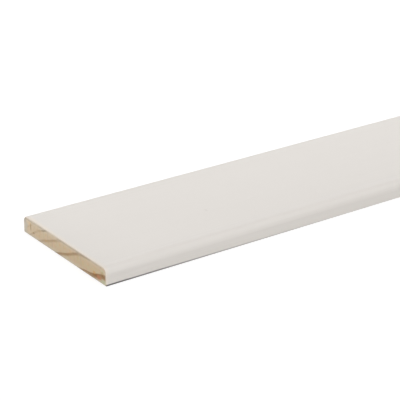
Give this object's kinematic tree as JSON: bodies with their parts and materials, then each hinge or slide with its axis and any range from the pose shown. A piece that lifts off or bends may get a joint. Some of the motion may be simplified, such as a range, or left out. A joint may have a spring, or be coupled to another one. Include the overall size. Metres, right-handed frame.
{
  "type": "cover strip",
  "caption": "Flat wooden cover strip, painted white, round along both edges of its face and plain on its back, for covering a joint.",
  "frame": {"origin": "middle of the strip's back, on the surface that it lies on", "axes": "+X along the strip, +Y across its width, +Z out of the painted face"},
  "size_m": [2.4, 0.058, 0.007],
  "materials": {
    "painted_softwood": "smooth white factory paint, satin, over softwood that is bare on both sawn ends"
  },
  "bodies": {
    "root": {"cover_strip": "painted_softwood"}
  },
  "joints": []
}
